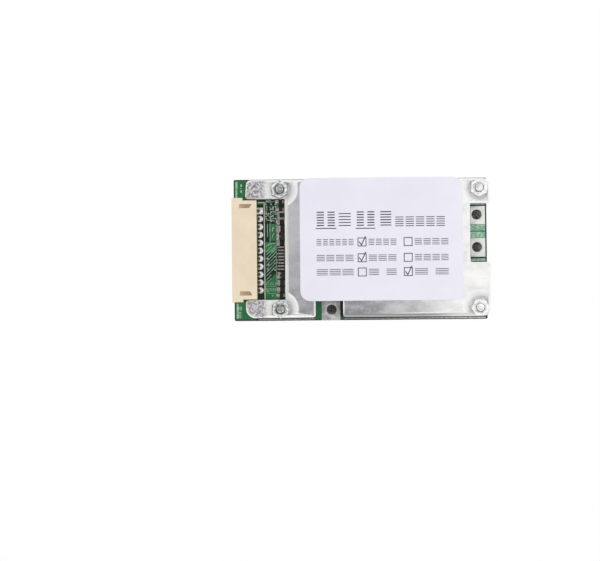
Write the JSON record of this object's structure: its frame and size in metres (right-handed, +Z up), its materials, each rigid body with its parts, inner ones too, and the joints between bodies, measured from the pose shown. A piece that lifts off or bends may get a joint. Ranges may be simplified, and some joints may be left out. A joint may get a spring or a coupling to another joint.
{
  "type": "battery management board",
  "caption": "Flat circuit board under a pressed aluminium heat spreader with low corner arms, a side-entry balance header at one end and edge notches over drilled wire pads.",
  "frame": {"origin": "middle of the overall footprint, on the surface under the four screw heads", "axes": "+X along the board, away from the balance header; +Y across the board, towards the edge without a notch; +Z up, from the screw heads to the nuts"},
  "size_m": [0.0646, 0.0356, 0.0084],
  "materials": {
    "solder_mask": "green solder mask over glass laminate, satin gloss",
    "bare_aluminium": "pressed bare aluminium, lightly scuffed",
    "silicone_sheet": "soft grey silicone, matt",
    "sticker": "pale lavender white film, smooth",
    "cream_nylon": "moulded cream nylon, satin",
    "tinned_brass": "bright tin plate over brass",
    "solder": "bright solder and tinned copper",
    "plated_steel": "nickel-plated steel",
    "black_moulding": "black moulding compound with tinned leads",
    "capacitor_ceramic": "tan ceramic with tinned ends",
    "chip_ceramic": "black glazed chip with tinned ends"
  },
  "bodies": {
    "root": {"pcb": "solder_mask", "heat_spreader": "bare_aluminium", "thermal_pad": "silicone_sheet", "label": "sticker", "header_housing": "cream_nylon", "header_solder": "solder", "header_tab_rear": "solder", "header_tab_front": "solder", "header_pin_1": "tinned_brass", "header_pin_2": "tinned_brass", "header_pin_3": "tinned_brass", "header_pin_4": "tinned_brass", "header_pin_5": "tinned_brass", "header_pin_6": "tinned_brass", "header_pin_7": "tinned_brass", "header_pin_8": "tinned_brass", "header_pin_9": "tinned_brass", "header_pin_10": "tinned_brass", "header_pin_11": "tinned_brass", "battery_pad": "solder", "charge_pad": "solder", "load_pad": "solder", "screw_1": "plated_steel", "screw_2": "plated_steel", "screw_3": "plated_steel", "screw_4": "plated_steel", "nut_1": "plated_steel", "nut_2": "plated_steel", "nut_3": "plated_steel", "nut_4": "plated_steel", "mosfet_1": "black_moulding", "mosfet_2": "black_moulding", "mosfet_3": "black_moulding", "mosfet_4": "black_moulding", "mosfet_5": "black_moulding", "mosfet_6": "black_moulding", "mosfet_7": "black_moulding", "mosfet_8": "black_moulding", "shunt_1": "chip_ceramic", "shunt_2": "chip_ceramic", "shunt_3": "chip_ceramic", "protection_ic": "black_moulding", "driver_transistor_1": "black_moulding", "driver_transistor_2": "black_moulding", "sense_chip_1": "chip_ceramic", "sense_chip_2": "chip_ceramic", "sense_chip_3": "chip_ceramic", "sense_chip_4": "chip_ceramic", "sense_chip_5": "chip_ceramic", "sense_chip_6": "chip_ceramic", "sense_chip_7": "chip_ceramic", "sense_chip_8": "chip_ceramic", "sense_chip_9": "chip_ceramic", "balance_resistors": "chip_ceramic", "balance_transistors": "black_moulding", "balance_capacitors": "capacitor_ceramic"}
  },
  "joints": []
}
